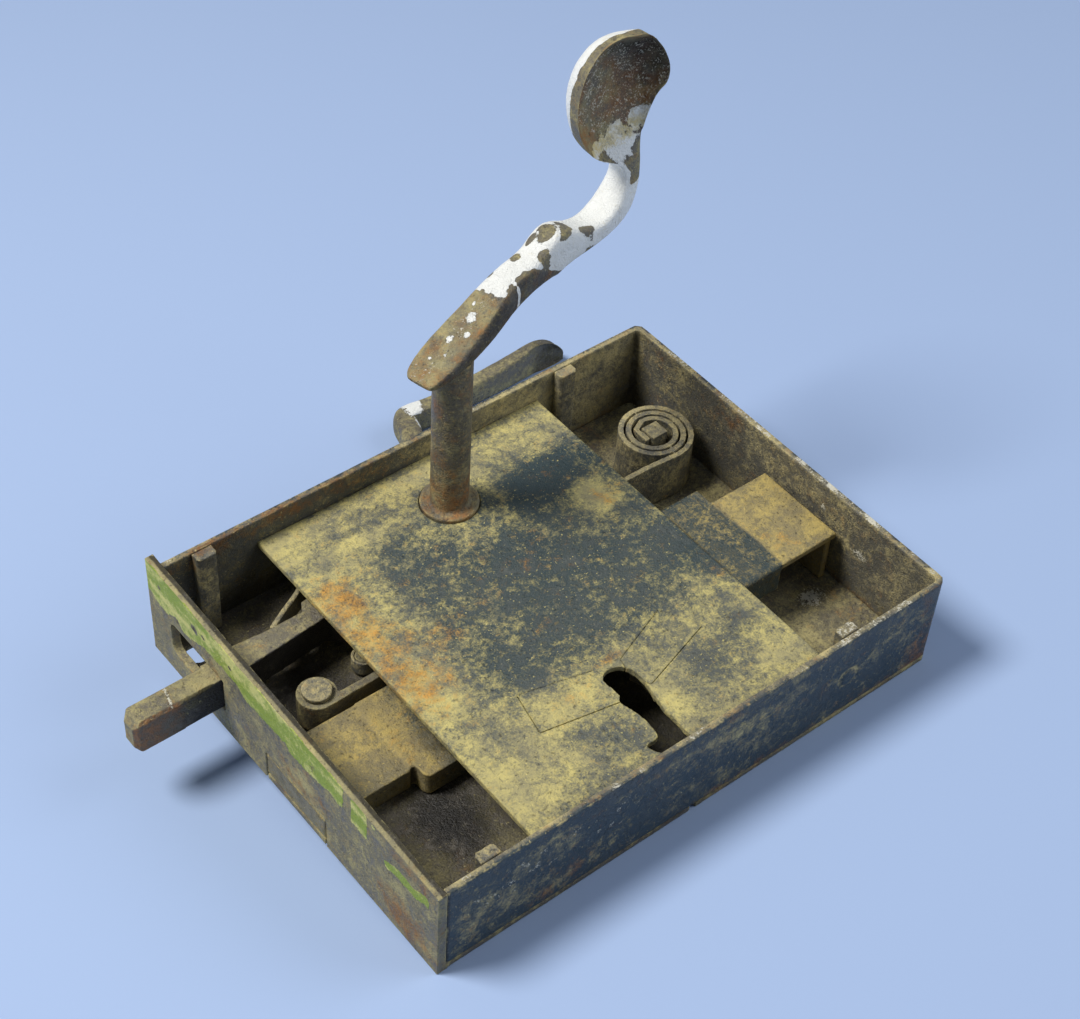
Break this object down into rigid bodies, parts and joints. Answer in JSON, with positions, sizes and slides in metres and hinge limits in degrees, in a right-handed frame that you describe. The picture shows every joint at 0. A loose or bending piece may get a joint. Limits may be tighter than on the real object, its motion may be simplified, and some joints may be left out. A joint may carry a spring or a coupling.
{
  "type": "rim lock",
  "caption": "Surface-mounted rim door lock with an open-backed iron case, lifting latch, sliding deadbolt with tumbler, spiral spring and a through spindle with lever handles.",
  "frame": {"origin": "centre of the four corner fixing holes, on the outer face of the case", "axes": "+X from the forend to the rear wall, +Y up the door, +Z along the spindle, out of the open side that meets the door"},
  "size_m": [0.184, 0.1595, 0.1448],
  "materials": {
    "iron_rust": "rough brown rust with ochre dust",
    "iron_dark": "dark oxide with rust along the edges",
    "iron_forend": "brown rust with traces of green paint",
    "iron_cover": "blue-black oxide with ochre dust",
    "iron_worn": "worn iron, ochre rust film",
    "spring_steel": "dull spring strip, light rust",
    "white_paint": "thick chipped off-white paint over rusty iron"
  },
  "bodies": {
    "case": {"base_plate": "iron_rust", "rim_band": "iron_dark", "forend_plate": "iron_forend", "wall_studs": "iron_rust", "stud_rivets": "iron_dark", "cover_plate": "iron_cover", "cover_pillars": "iron_rust", "ward_tabs": "iron_cover", "ward_bows": "iron_rust", "ward_rivets": "iron_rust", "latch_pivot": "iron_rust", "latch_spring": "spring_steel", "latch_spring_rivets": "iron_rust", "spiral_spring": "spring_steel", "spring_post": "iron_rust", "bolt_guide_pin": "iron_rust", "tumbler_stud": "iron_rust", "tumbler_spring": "spring_steel", "tumbler_spring_stud": "iron_rust"},
    "handle": {"follower": "iron_worn", "spindle": "iron_rust", "spoon_handle": "white_paint", "case_handle": "white_paint", "handle_pin": "iron_dark"},
    "latch": {"latch_bar": "iron_worn"},
    "bolt": {"deadbolt": "iron_worn"},
    "tumbler_body": {"tumbler": "iron_worn"}
  },
  "joints": [
    {"name": "handle_turn", "type": "hinge", "parent": "case", "child": "handle", "pos_m": [-0.0008, 0.0392, 0], "axis": [0, 0, 1], "range_deg": [-26, 0], "stiffness_Nm_per_rad": 0.6, "springref_deg": 14.32},
    {"name": "latch_lift", "type": "hinge", "parent": "case", "child": "latch", "pos_m": [-0.028, 0.027, 0], "axis": [0, 0, 1], "range_deg": [-9.7, 0], "deforming": ["latch_spring", "spiral_spring"]},
    {"name": "bolt_throw", "type": "slide", "parent": "case", "child": "bolt", "axis": [-1, 0, 0], "range_m": [0, 0.013]},
    {"name": "tumbler_lift", "type": "hinge", "parent": "case", "child": "tumbler_body", "pos_m": [-0.0575, 0.015, 0], "axis": [0, 0, 1], "range_deg": [-2, 4], "stiffness_Nm_per_rad": 0.3, "deforming": ["tumbler_spring"]}
  ],
  "couplings": [
    {"joint": "latch_lift", "follows": "handle_turn", "ratio": 0.37}
  ]
}
